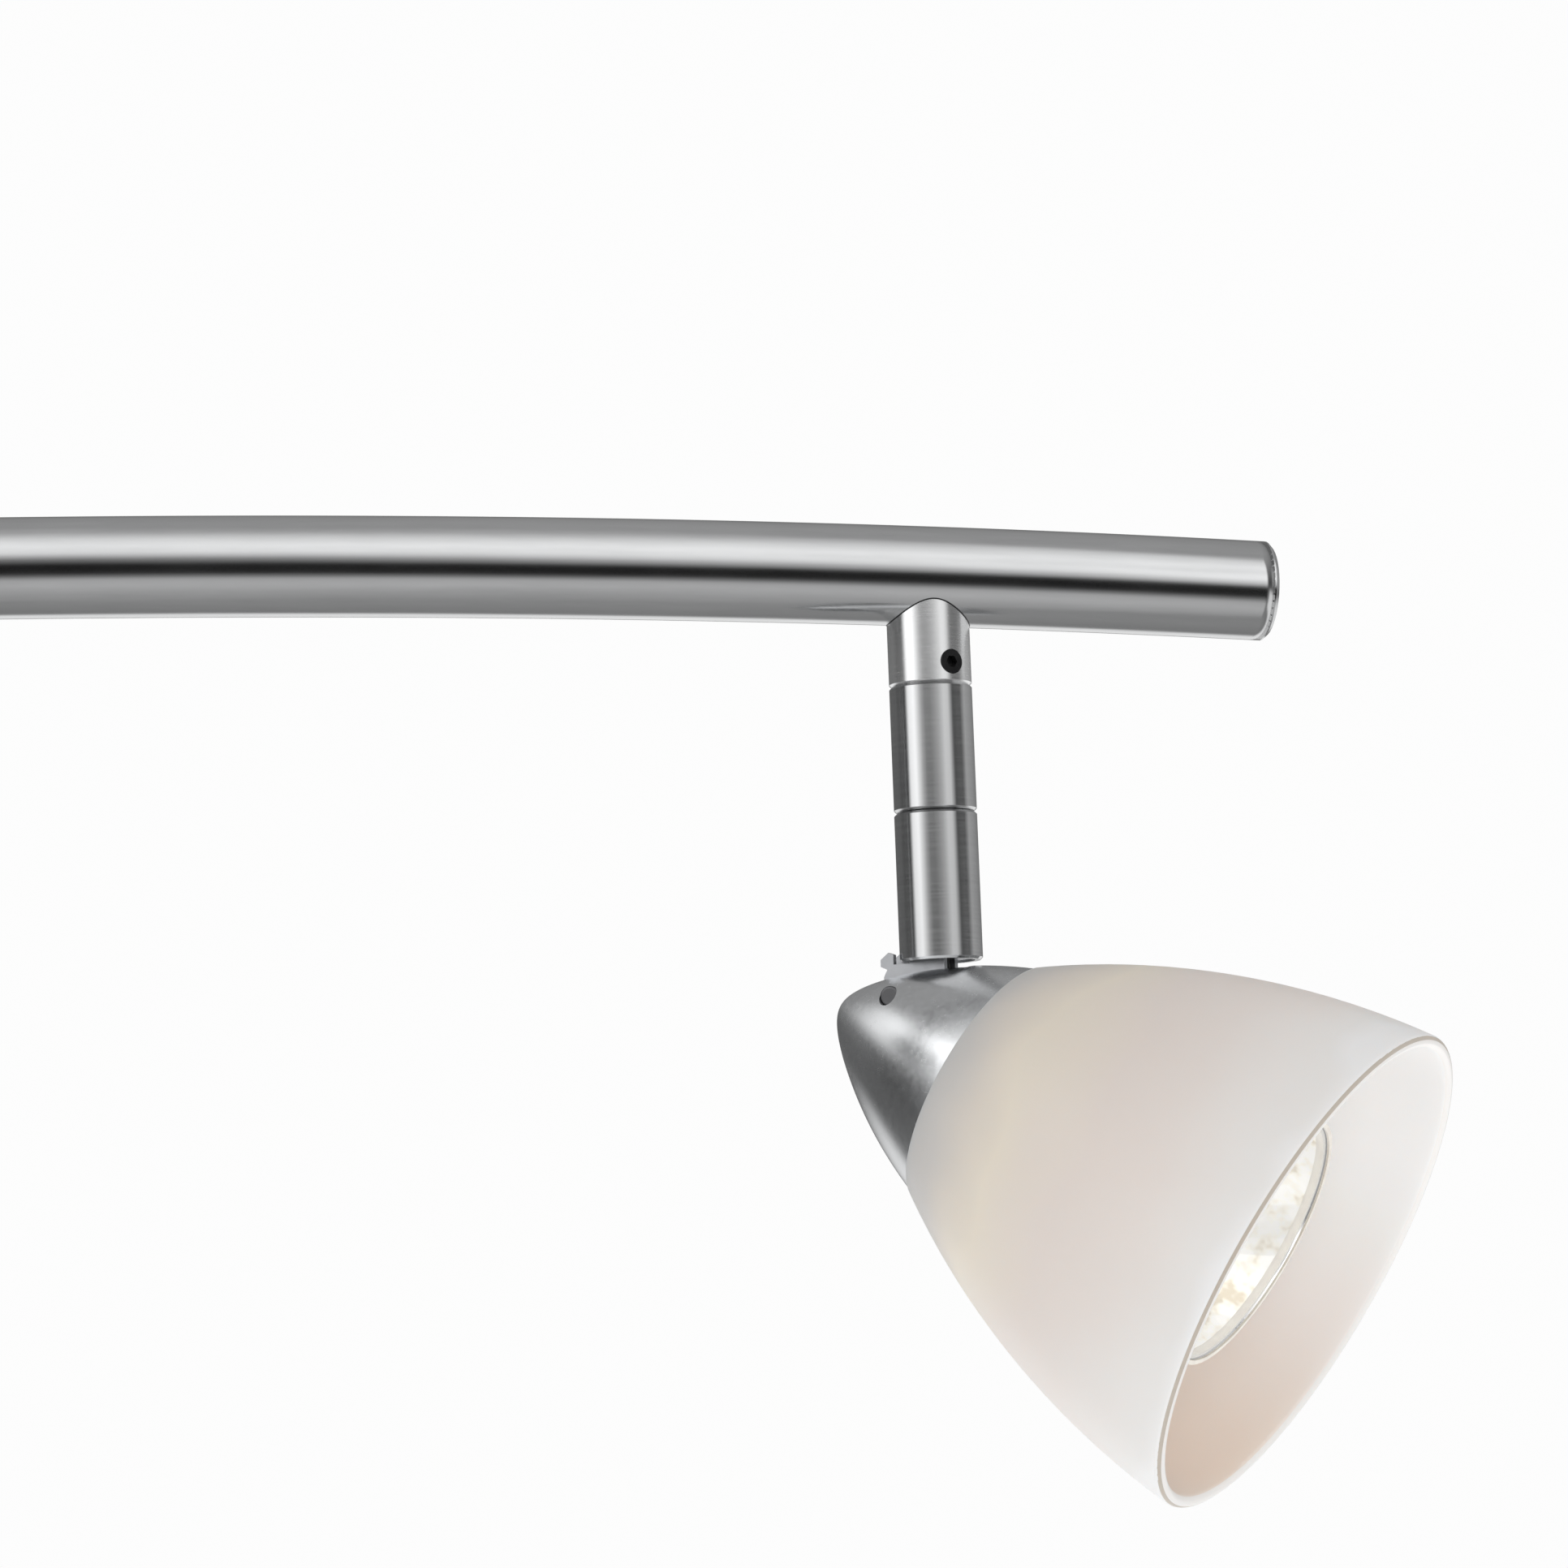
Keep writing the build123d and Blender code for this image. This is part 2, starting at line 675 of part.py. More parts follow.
def lamp_socket(name, head):
    front = Plane(origin=head.from_local_coords((SOCKET_FRONT, 0, 0)), x_dir=head.y_dir, z_dir=head.x_dir)
    with BuildPart() as block:
        with BuildSketch(front):
            Circle(SOCKET_R)
        extrude(amount=SOCKET_BACK - SOCKET_FRONT)
        chamfer(block.edges().filter_by(GeomType.CIRCLE).sort_by_distance(front.origin)[:1], 0.8)
        with BuildSketch(front):
            with Locations((0, LAMP_PIN_SPAN / 2), (0, -LAMP_PIN_SPAN / 2)):
                Circle(2.75)
        extrude(amount=8, mode=Mode.SUBTRACT)
    save(block, f"lamp_socket_{name}")


def lamp_base(name, head):
    front = Plane(origin=head.from_local_coords((LAMP_NECK + 0.2, 0, 0)), x_dir=head.y_dir, z_dir=head.x_dir)
    reach = LAMP_END - LAMP_NECK - 0.2
    with BuildPart() as base:
        with BuildSketch(front):
            Circle(LAMP_NECK_R)
        extrude(amount=reach)
        with BuildSketch(front.offset(reach)):
            with Locations((0, LAMP_PIN_SPAN / 2), (0, -LAMP_PIN_SPAN / 2)):
                Circle(1.5)
        extrude(amount=5.4)
        with BuildSketch(front.offset(reach + 5.4)):
            with Locations((0, LAMP_PIN_SPAN / 2), (0, -LAMP_PIN_SPAN / 2)):
                Circle(2.45)
        extrude(amount=2.0)
    save(base, f"lamp_base_{name}")


def lamp_reflector(name, head):
    with BuildPart() as bowl:
        with BuildSketch(head):
            with BuildLine():
                Line((LAMP_FRONT, LAMP_R), (LAMP_FRONT + 3, LAMP_R))
                ThreePointArc((LAMP_FRONT + 3, LAMP_R), (29, 21.3), (LAMP_NECK, LAMP_NECK_R))
                Line((LAMP_NECK, LAMP_NECK_R), (LAMP_NECK, 0))
                Line((LAMP_NECK, 0), (LAMP_NECK - 2, 0))
                Line((LAMP_NECK - 2, 0), (LAMP_NECK - 2, LAMP_NECK_R - LAMP_WALL))
                ThreePointArc(
                    (LAMP_NECK - 2, LAMP_NECK_R - LAMP_WALL), (28, 20.0), (LAMP_FRONT + 3, LAMP_R - 1.6)
                )
                Line((LAMP_FRONT + 3, LAMP_R - 1.6), (LAMP_FRONT + 1.9, LAMP_R - 1.6))
                Line((LAMP_FRONT + 1.9, LAMP_R - 1.6), (LAMP_FRONT + 1.9, LAMP_R - 0.9))
                Line((LAMP_FRONT + 1.9, LAMP_R - 0.9), (LAMP_FRONT, LAMP_R - 0.9))
                Line((LAMP_FRONT, LAMP_R - 0.9), (LAMP_FRONT, LAMP_R))
            make_face()
        revolve(axis=spin(head))
    save(bowl, f"lamp_reflector_{name}")


def lamp_lens(name, head):
    front = Plane(origin=head.from_local_coords((LAMP_FRONT + 0.4, 0, 0)), z_dir=head.x_dir)
    with BuildPart() as disc:
        with BuildSketch(front):
            Circle(LAMP_R - 0.95)
        extrude(amount=1.48)
    save(disc, f"lamp_lens_{name}")


for make in (mounting_bar, ground_screw, canopy_studs, canopy_cap_nuts, canopy, canopy_nut, post):
    make()
for make in (bar_tube, end_caps, threaded_nipples, nipple_nuts, set_screws):
    make()
for make in (supply_leads, wire_connectors):
    make()
for name, (x, heading, tilt) in HEADS.items():
    stem = upright(x, heading)
    head = head_of(stem, tilt)
    route = lead_route(stem)
    collar(name, x)
    for make in (upper_stem, lower_stem, swivel_ring, hinge_bracket):
        make(name, stem)
    for make in (hinge_pin, socket_carrier, shade, shade_retainer):
        make(name, head)
    for make in (lamp_socket, lamp_base, lamp_reflector, lamp_lens):
        make(name, head)
    cup(name, head, route)
    head_lead(name, route)
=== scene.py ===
import json
import math

import bpy
import numpy as np
from mathutils import Matrix, Vector


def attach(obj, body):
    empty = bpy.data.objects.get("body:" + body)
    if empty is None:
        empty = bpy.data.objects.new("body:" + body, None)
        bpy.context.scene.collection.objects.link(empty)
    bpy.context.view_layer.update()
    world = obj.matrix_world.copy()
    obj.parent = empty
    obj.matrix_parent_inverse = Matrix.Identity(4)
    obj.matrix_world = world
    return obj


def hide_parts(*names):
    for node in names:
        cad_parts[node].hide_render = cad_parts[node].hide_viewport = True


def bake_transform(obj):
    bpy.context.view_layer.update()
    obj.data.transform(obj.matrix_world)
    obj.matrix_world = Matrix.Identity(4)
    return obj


# Metres. The ceiling is z = 0, the bar runs along X and the heads aim toward -Y.
SIDES = ("left", "middle", "right")
BAR_RADIUS = 0.0095
BAR_WALL = 0.0012
BAR_DROP = 0.066
BAR_SWAY = 0.0382
BAR_WAVE = 2 * math.pi / 1.321
BAR_CROWN = 6.854
BAR_END = 0.3654
REST_TILT = math.radians(31.53)
PIN_BACK = 0.0931
PIN_OFFSET = 0.0071
STEM_RADIUS = 0.0078
# Thickness of the dark ring of painted shade in the gap under each collar.
GAP_SHADE_RADIUS = 0.00014
SHADE_LENGTH = 0.0722
# The shade's mouth, and the radius of the middle of its wall by share of the way back.
MOUTH_WIDTH = 0.1
WALL_RIM, WALL_SLOPE, WALL_BEND = 0.0472, -0.0037, -0.0196
LIP_LINE_RADIUS = 0.0479
LIP_LINE_DEPTH = 0.0007
# The lamp's inside, from its front edge back toward its neck.
LAMP_RADIUS = 0.0234
LAMP_FRONT = 0.0152
LAMP_DEPTH = 0.0255
LAMP_NARROWING = 0.86
LAMP_BOW = 1.35
CAPSULE_PROFILE = ((0.0215, 0.0), (0.0225, 0.0022), (0.026, 0.0036), (0.034, 0.004), (0.0405, 0.004))
LEAD_RADIUS = 0.0015
LEAD_ROUTE = ((0.0, -0.0409), (0.0, -0.071), (0.0, -0.0755), (0.0034, -0.0815), (0.0056, -0.0929))

# The floor lies well below, so that the object can also be seen from under it.
FLOOR_HALF = 36.0
FLOOR_DEPTH = 3.2

# The camera: its place from the bar above the right stem, its lens in millimetres and its turn.
CAMERA_STEM = 0.3
CAMERA_FROM_BAR = (-0.196438, -0.8985, -0.149767)
CAMERA_LENS = 112.97
VIEW_YAW = math.radians(-10.571)
VIEW_PITCH = math.radians(6.902)
VIEW_ROLL = math.radians(2.110)

# What shiny things reflect: brightness by height above the horizon, in front and behind.
LIGHT_LEVEL = 2.0
FRONT_BANDS = (
    (-90, 0.19),
    (-67, 0.25),
    (-50, 0.31),
    (-37, 0.29),
    (-30, 0.12),
    (-23, 0.01),
    (3, 0.0),
    (9, 0.03),
    (15, 0.22),
    (25, 0.56),
    (40, 0.64),
    (58, 0.48),
    (75, 0.27),
    (90, 0.21),
)
REAR_BANDS = (
    (-90, 0.19),
    (-60, 0.16),
    (-30, 0.12),
    (-8, 0.07),
    (7, 0.04),
    (25, 0.10),
    (45, 0.17),
    (70, 0.21),
    (90, 0.21),
)
# Where the front bands show, by swing to the right of the way back to the camera.
FRONT_REACH = ((-180, 0), (-92, 0), (-74, 1), (46, 1), (60, 0), (180, 0))
# Upright strips beside the camera and behind the lamp.
STRIPS = (
    (-180, 0.02),
    (-120, 0.03),
    (-108, 0.0),
    (-80, 0.0),
    (-70, 0.74),
    (-52, 0.94),
    (-41, 0.58),
    (-30, 0.24),
    (-20, 0.08),
    (-7, 0.07),
    (7, 0.16),
    (19, 0.28),
    (33, 0.50),
    (46, 0.46),
    (60, 0.0),
    (86, 0.0),
    (102, 0.22),
    (180, 0.02),
)
STRIP_HEIGHT = ((-4, 0.0), (6, 1.0), (15, 1.0), (27, 0.0))
# A soft box up to the left.
BOX_REACH = (
    (-180, 0.0),
    (-128, 0.0),
    (-116, 0.40),
    (-104, 0.60),
    (-80, 0.62),
    (-64, 0.20),
    (-50, 0.0),
    (180, 0.0),
)
BOX_HEIGHT = ((18, 0.0), (27, 1.0), (41, 1.0), (47, 0.0))
# Low light behind, for the far side of the metal.
BACK_REACH = ((-180, 0.42), (-142, 0.40), (-130, 0.0), (62, 0.0), (78, 0.38), (180, 0.42))
BACK_HEIGHT = ((-42, 0.0), (-32, 1.0), (-10, 1.0), (-2, 0.0))
# Light that falls on everything dull. It is a separate light from what shiny things reflect.
SOFT_FILL = ((-90, 1.38), (-30, 1.20), (10, 0.85), (90, 0.62))

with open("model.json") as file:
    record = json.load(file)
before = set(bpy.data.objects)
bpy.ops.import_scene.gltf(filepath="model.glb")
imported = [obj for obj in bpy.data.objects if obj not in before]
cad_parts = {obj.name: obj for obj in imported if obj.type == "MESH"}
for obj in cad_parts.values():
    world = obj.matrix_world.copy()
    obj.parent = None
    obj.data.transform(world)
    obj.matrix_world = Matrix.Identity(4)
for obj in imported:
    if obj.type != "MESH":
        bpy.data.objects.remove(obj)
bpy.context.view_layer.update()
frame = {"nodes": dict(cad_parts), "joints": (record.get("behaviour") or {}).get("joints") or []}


# ---- Where things are, from the frame ----


def joint(name):
    return next(j for j in frame["joints"] if j["name"] == name)


def bar_point(x):
    return Vector((x, -BAR_SWAY * math.sin(BAR_WAVE * x), -BAR_DROP - x * x / (2 * BAR_CROWN)))


def bar_along(x):
    slope = Vector((1, -BAR_SWAY * BAR_WAVE * math.cos(BAR_WAVE * x), -x / BAR_CROWN))
    return slope.normalized()


def head_axes(side):
    """The rim plane's centre, the direction back along the head, and the upright direction across it."""
    tilt = joint(f"tilt_{side}")
    hinge = Vector(tilt["axis"])
    aim = hinge.cross(Vector((0, 0, 1)))
    back = Vector((0, 0, math.sin(REST_TILT))) - aim * math.cos(REST_TILT)
    across = aim * math.sin(REST_TILT) + Vector((0, 0, math.cos(REST_TILT)))
    rim = Vector(tilt["pos_m"]) - back * PIN_BACK - across * PIN_OFFSET
    return rim, back, across


# ---- Shader helpers ----


class Shader:
    """A material under construction, with a short way to add and link its nodes."""

    def __init__(self, name):
        self.material = bpy.data.materials.new(name)
        self.material.use_nodes = True
        self.tree = self.material.node_tree
        self.bsdf = self.tree.nodes["Principled BSDF"]

    def node(self, kind, **settings):
        made = self.tree.nodes.new("ShaderNode" + kind)
        for key, value in settings.items():
            setattr(made, key, value)
        return made

    def link(self, source, target):
        self.tree.links.new(source, target)

    def set(self, **values):
        for key, value in values.items():
            self.bsdf.inputs[key.replace("_", " ")].default_value = value

    def maths(self, operation, a, b=None):
        made = self.node("Math", operation=operation)
        for socket, value in zip(made.inputs, (a, b)):
            if isinstance(value, (int, float)):
                socket.default_value = value
            elif value is not None:
                self.link(value, socket)
        return made.outputs[0]

    def vector(self, operation, a, b):
        made = self.node("VectorMath", operation=operation)
        for socket, value in zip(made.inputs, (a, b)):
            if isinstance(value, Vector):
                socket.default_value = value
            else:
                self.link(value, socket)
        return made.outputs["Value" if operation == "DOT_PRODUCT" else "Vector"]

    def noise(self, vector, scale, detail=3.0, roughness=0.5):
        made = self.node("TexNoise")
        made.inputs["Scale"].default_value = scale
        made.inputs["Detail"].default_value = detail
        made.inputs["Roughness"].default_value = roughness
        self.link(vector, made.inputs["Vector"])
        return made.outputs["Fac"]

    def ramp(self, factor, *stops):
        made = self.node("ValToRGB")
        elements = made.color_ramp.elements
        while len(elements) < len(stops):
            elements.new(0.5)
        for element, (place, colour) in zip(elements, stops):
            element.position = place
            element.color = (*colour, 1) if isinstance(colour, tuple) else (colour, colour, colour, 1)
        self.link(factor, made.inputs["Fac"])
        return made.outputs["Color"]

    def mix(self, factor, first, second, blend="MIX"):
        made = self.node("MixRGB", blend_type=blend)
        for socket, value in zip(made.inputs, (factor, first, second)):
            if isinstance(value, (int, float)):
                socket.default_value = value
            elif isinstance(value, tuple):
                socket.default_value = (*value, 1)
            else:
                self.link(value, socket)
        return made.outputs[0]

    def stretch(self, vector, scale):
        made = self.node("Mapping")
        made.inputs["Scale"].default_value = scale
        self.link(vector, made.inputs["Vector"])
        return made.outputs["Vector"]

    def bump(self, height, strength, distance):
        made = self.node("Bump")
        made.inputs["Strength"].default_value = strength
        made.inputs["Distance"].default_value = distance
        self.link(height, made.inputs["Height"])
        self.link(made.outputs["Normal"], self.bsdf.inputs["Normal"])


def object_place(shader):
    return shader.node("TexCoord").outputs["Object"]


# ---- Materials ----


def grained_metal(name, colour, roughness, grain, lines, tangent=None, anisotropic=0.6, metallic=1.0):
    """Brushed metal: grain stretches the noise along the brushing, lines sets its fineness."""
    made = Shader(name)
    made.set(Metallic=metallic, Anisotropic=anisotropic)
    place = object_place(made)
    fine = made.noise(made.stretch(place, grain), lines, detail=4, roughness=0.6)
    broad = made.noise(place, 60, detail=2)
    mix = made.maths("ADD", made.maths("MULTIPLY", fine, 0.75), made.maths("MULTIPLY", broad, 0.25))
    dark = tuple(c * 0.95 for c in colour)
    light = tuple(min(1, c * 1.05) for c in colour)
    made.link(made.ramp(mix, (0.3, dark), (0.7, light)), made.bsdf.inputs["Base Color"])
    made.link(
        made.ramp(mix, (0.3, roughness * 0.85), (0.7, roughness * 1.2)), made.bsdf.inputs["Roughness"]
    )
    made.bump(fine, 0.04, 0.00001)
    if tangent:
        # Turned on a lathe: the shine spreads along the axis.
        made.set(Anisotropic_Rotation=0.25)
        source = made.node("Tangent", direction_type="RADIAL", axis=tangent)
        made.link(source.outputs["Tangent"], made.bsdf.inputs["Tangent"])
    return made.material


def bar_metal():
    """The brushing runs along the bar, so the shine spreads round it."""
    made = Shader("bar_brushed")
    made.set(Metallic=1.0, Anisotropic=0.35)
    uv = made.node("UVMap", uv_map="along").outputs["UV"]
    fine = made.noise(made.stretch(uv, (60, 420, 1)), 1.0, detail=5, roughness=0.65)
    streak = made.noise(made.stretch(uv, (9, 160, 1)), 1.0, detail=3)
    mottle = made.noise(made.stretch(uv, (30, 12, 1)), 1.0, detail=2)
    mix = made.maths("ADD", made.maths("MULTIPLY", fine, 0.45), made.maths("MULTIPLY", streak, 0.35))
    mix = made.maths("ADD", mix, made.maths("MULTIPLY", mottle, 0.2))
    made.link(
        made.ramp(mix, (0.3, (0.56, 0.565, 0.57)), (0.7, (0.66, 0.665, 0.67))),
        made.bsdf.inputs["Base Color"],
    )
    made.link(made.ramp(mix, (0.3, 0.13), (0.7, 0.19)), made.bsdf.inputs["Roughness"])
    made.bump(fine, 0.06, 0.00001)
    tangent = made.node("Tangent", direction_type="UV_MAP", uv_map="around")
    made.link(tangent.outputs["Tangent"], made.bsdf.inputs["Tangent"])
    return made.material


def plain(name, colour, roughness, metallic=0.0, speckle=0.08, scale=400):
    """A plain finish with fine unevenness in its colour and its gloss."""
    made = Shader(name)
    made.set(Metallic=metallic)
    mottle = made.noise(object_place(made), scale, detail=4)
    dark = tuple(c * (1 - speckle) for c in colour)
    light = tuple(min(1, c * (1 + speckle)) for c in colour)
    made.link(made.ramp(mottle, (0.35, dark), (0.65, light)), made.bsdf.inputs["Base Color"])
    made.link(
        made.ramp(mottle, (0.3, roughness * 0.85), (0.7, min(1, roughness * 1.2))),
        made.bsdf.inputs["Roughness"],
    )
    return made.material


def frosted_glass(side):
    """Cream and rose clouds of painted lamp glow through the glass, greyer at the neck and whiter toward
    the rim.
    """
    made = Shader(f"frosted_glass_{side}")
    made.set(
        Roughness=0.42,
        IOR=1.5,
        Subsurface_Weight=1.0,
        Subsurface_Radius=(0.9, 0.8, 0.75),
        Subsurface_Scale=0.006,
    )
    spot = object_place(made)
    rim, back, across = head_axes(side)
    offset = made.vector("SUBTRACT", spot, rim)
    depth = made.vector("DOT_PRODUCT", offset, back)
    reach = made.vector("DOT_PRODUCT", offset, offset)
    radius = made.maths("SQRT", made.maths("SUBTRACT", reach, made.maths("MULTIPLY", depth, depth)))
    place = made.maths("DIVIDE", depth, SHADE_LENGTH)
    # The middle of the wall: what is nearer the axis is the inside.
    bend = made.maths("MULTIPLY", made.maths("MULTIPLY", place, place), WALL_BEND)
    wall = made.maths("ADD", made.maths("MULTIPLY", place, WALL_SLOPE), WALL_RIM)
    inside = made.maths("LESS_THAN", radius, made.maths("ADD", wall, bend))
    drift = made.maths("MULTIPLY", made.maths("SUBTRACT", made.noise(spot, 22, detail=2), 0.5), 0.5)
    # Outside: cream and rose clouds of painted warm lamp glow, greyer toward the neck, whiter toward the
    # rim.
    outer = made.ramp(
        made.maths("ADD", place, drift),
        (0.0, (0.86, 0.86, 0.86)),
        (0.06, (0.81, 0.80, 0.785)),
        (0.3, (0.79, 0.74, 0.71)),
        (0.52, (0.785, 0.72, 0.68)),
        (0.72, (0.83, 0.755, 0.66)),
        (0.92, (0.62, 0.605, 0.585)),
        (1.0, (0.57, 0.565, 0.555)),
    )
    # Inside, painted light and shade: rose and darker at the bottom, whiter toward the lit top.
    rise = made.maths("DIVIDE", made.vector("DOT_PRODUCT", offset, across), MOUTH_WIDTH)
    height = made.maths("ADD", rise, 0.5)
    inner = made.ramp(
        made.maths("ADD", height, made.maths("MULTIPLY", drift, 0.4)),
        (0.05, (0.83, 0.72, 0.65)),
        (0.4, (0.91, 0.84, 0.81)),
        (0.75, (1.0, 0.985, 0.975)),
    )
    walls = made.mix(inside, outer, inner)
    # The outer edge of the lip shows as a thin darker line.
    edge = made.maths("GREATER_THAN", radius, LIP_LINE_RADIUS)
    front = made.maths("LESS_THAN", place, LIP_LINE_DEPTH / SHADE_LENGTH)
    face = made.mix(front, walls, (0.86, 0.83, 0.80))
    lip = made.mix(made.maths("MULTIPLY", edge, front), face, (0.50, 0.46, 0.41))
    made.link(lip, made.bsdf.inputs["Base Color"])
    # A weak glow on the upper inside stands in for light that comes through the wall.
    lifted = made.ramp(height, (0.25, (0, 0, 0)), (0.7, (1.0, 0.97, 0.95)))
    through = made.mix(1.0, lifted, inside, "MULTIPLY")
    made.link(through, made.bsdf.inputs["Emission Color"])
    made.set(Emission_Strength=0.10)
    made.bump(made.noise(spot, 900, detail=3), 0.06, 0.00003)
    return made.material


def clear_glass(name, tint):
    made = Shader(name)
    made.set(Base_Color=(*tint, 1), Roughness=0.02, IOR=1.5, Transmission_Weight=1.0)
    return made.material


def glowing(name, colour, strength):
    made = Shader(name)
    made.set(Base_Color=(*colour, 1), Emission_Color=(*colour, 1), Emission_Strength=strength)
    return made.material


def lamp_mirror():
    """Bright facets with cream patches, with a little painted glow standing in for the light that a lit
    lamp's facets reflect.
    """
    made = Shader("lamp_mirror")
    # The emission is painted reflected light on the facets.
    made.set(Metallic=0.7, Roughness=0.3, Emission_Strength=0.42)
    mottle = made.noise(object_place(made), 260, detail=2)
    tint = made.ramp(
        mottle, (0.36, (0.60, 0.50, 0.32)), (0.45, (0.90, 0.86, 0.74)), (0.55, (1.0, 1.0, 0.98))
    )
    made.link(tint, made.bsdf.inputs["Base Color"])
    made.link(tint, made.bsdf.inputs["Emission Color"])
    return made.material


# ---- Mesh helpers ----


def new_mesh(name, points, faces, material, smooth=True):
    data = bpy.data.meshes.new(name)
    data.from_pydata([tuple(p) for p in points], [], faces)
    data.materials.append(material)
    data.validate()
    for face in data.polygons:
        face.use_smooth = smooth
    piece = bpy.data.objects.new(name, data)
    bpy.context.collection.objects.link(piece)
    return piece


def lathe(name, profile, rim, back, across, material, steps):
    """Turns (distance back, radius) points about the head's axis."""
    side = back.cross(across)
    points, faces = [], []
    for place, radius in profile:
        for n in range(steps):
            turn = 2 * math.pi * n / steps
            out = across * math.cos(turn) + side * math.sin(turn)
            points.append(rim + back * place + out * radius)
    rows = len(profile)
    for row in range(rows - 1):
        for n in range(steps):
            a, b = row * steps, (row + 1) * steps
            m = (n + 1) % steps
            faces.append((a + n, a + m, b + m, b + n))
    return new_mesh(name, points, faces, material)


def pipe(name, route, sideways, radius, material, closed=False, steps=16):
    """A round skin along a route; sideways is a direction that the route never takes."""
    count = len(route)
    points, faces = [], []
    for n, spot in enumerate(route):
        if closed:
            ahead = route[(n + 1) % count] - route[n - 1]
        else:
            ahead = route[min(n + 1, count - 1)] - route[max(n - 1, 0)]
        up = sideways.cross(ahead).normalized()
        out = ahead.cross(up).normalized()
        for k in range(steps):
            turn = 2 * math.pi * k / steps
            points.append(spot + (out * math.cos(turn) + up * math.sin(turn)) * radius)
    for n in range(count if closed else count - 1):
        for k in range(steps):
            a, b, m = n * steps, (n + 1) % count * steps, (k + 1) % steps
            faces.append((a + k, a + m, b + m, b + k))
    if not closed:
        faces.append(tuple(range(steps)))
        faces.append(tuple(range(len(points) - 1, len(points) - steps - 1, -1)))
    return new_mesh(name, points, faces, material)


# ---- Bar ----


def bar_ring(x, radius, steps):
    centre, ahead = bar_point(x), bar_along(x)
    side = ahead.cross(Vector((0, 0, 1))).normalized()
    up = side.cross(ahead)
    turns = [2 * math.pi * n / steps for n in range(steps)]
    return [centre + (up * math.cos(turn) + side * math.sin(turn)) * radius for turn in turns]


def bar_tube(material):
    """The tube again as one smooth skin with its own grain directions."""
    rings, steps = 360, 96
    points, faces, along, around = [], [], [], []
    for i in range(rings + 1):
        points += bar_ring(-BAR_END + 2 * BAR_END * i / rings, BAR_RADIUS, steps)
    inner = len(points)
    for x in (-BAR_END, BAR_END):
        points += bar_ring(x, BAR_RADIUS - BAR_WALL, steps)
    for i in range(rings):
        for n in range(steps):
            m = (n + 1) % steps
            faces.append((i * steps + n, i * steps + m, (i + 1) * steps + m, (i + 1) * steps + n))
            u = [2 * BAR_END * k / rings for k in (i, i, i + 1, i + 1)]
            v = [2 * math.pi * BAR_RADIUS * k / steps for k in (n, n + 1, n + 1, n)]
            along += list(zip(u, v))
            around += list(zip(v, u))
    for n in range(steps):
        m = (n + 1) % steps
        faces.append((n, inner + n, inner + m, m))
        far = rings * steps
        faces.append((far + m, inner + steps + m, inner + steps + n, far + n))
        along += [(0, 0)] * 8
        around += [(0, 0)] * 8
    tube = new_mesh("bar_skin", points, faces, material)
    for name, values in (("along", along), ("around", around)):
        layer = tube.data.uv_layers.new(name=name)
        layer.data.foreach_set("uv", np.array(values, np.float32).ravel())
    return tube


def collar_gap_shade(side, material):
    """A dark ring of painted shade for the shadowed gap where the collar's saddle meets the bar."""
    x = joint(f"swivel_{side}")["pos_m"][0]
    centre, ahead = bar_point(x), bar_along(x)
    count = 96
    route = []
    for n in range(count):
        turn = 2 * math.pi * n / count
        # Straight up the stem's wall from here, the height where it meets the tube's underside.
        out = Vector((math.cos(turn), math.sin(turn), 0)) * STEM_RADIUS
        along = out.dot(ahead)
        a = 1 - ahead.z**2
        b = along * ahead.z
        c = STEM_RADIUS**2 - along**2 - BAR_RADIUS**2
        drop = (b - math.sqrt(b * b - a * c)) / a
        route.append(centre + out + Vector((0, 0, drop)))
    return pipe(f"collar_seam_{side}", route, Vector((0, 0, 1)), GAP_SHADE_RADIUS, material, True, 8)


# ---- Lamp ----


def reflector_facets(side, material):
    """The lamp's inside: rings of flat facets that bow in toward the neck."""
    rim, back, across = head_axes(side)
    spokes, rows = 40, 8
    turned = back.cross(across)
    points, faces = [], []
    for row in range(rows + 1):
        share = row / rows
        place = LAMP_FRONT + LAMP_DEPTH * share
        radius = LAMP_RADIUS * math.sqrt(1 - LAMP_NARROWING * share**LAMP_BOW)
        for n in range(spokes):
            turn = 2 * math.pi * (n + 0.5 * (row % 2)) / spokes
            out = across * math.cos(turn) + turned * math.sin(turn)
            points.append(rim + back * place + out * radius)
    for row in range(rows):
        for n in range(spokes):
            a, b, m = row * spokes, (row + 1) * spokes, (n + 1) % spokes
            if row % 2:
                faces += [(a + n, a + m, b + m), (a + n, b + m, b + n)]
            else:
                faces += [(a + n, a + m, b + n), (a + m, b + m, b + n)]
    return new_mesh(f"lamp_facets_{side}", points, faces, material, smooth=False)


def lamp_capsule(side, material):
    rim, back, across = head_axes(side)
    return lathe(f"lamp_capsule_{side}", CAPSULE_PROFILE, rim, back, across, material, steps=32)


# ---- Head leads ----


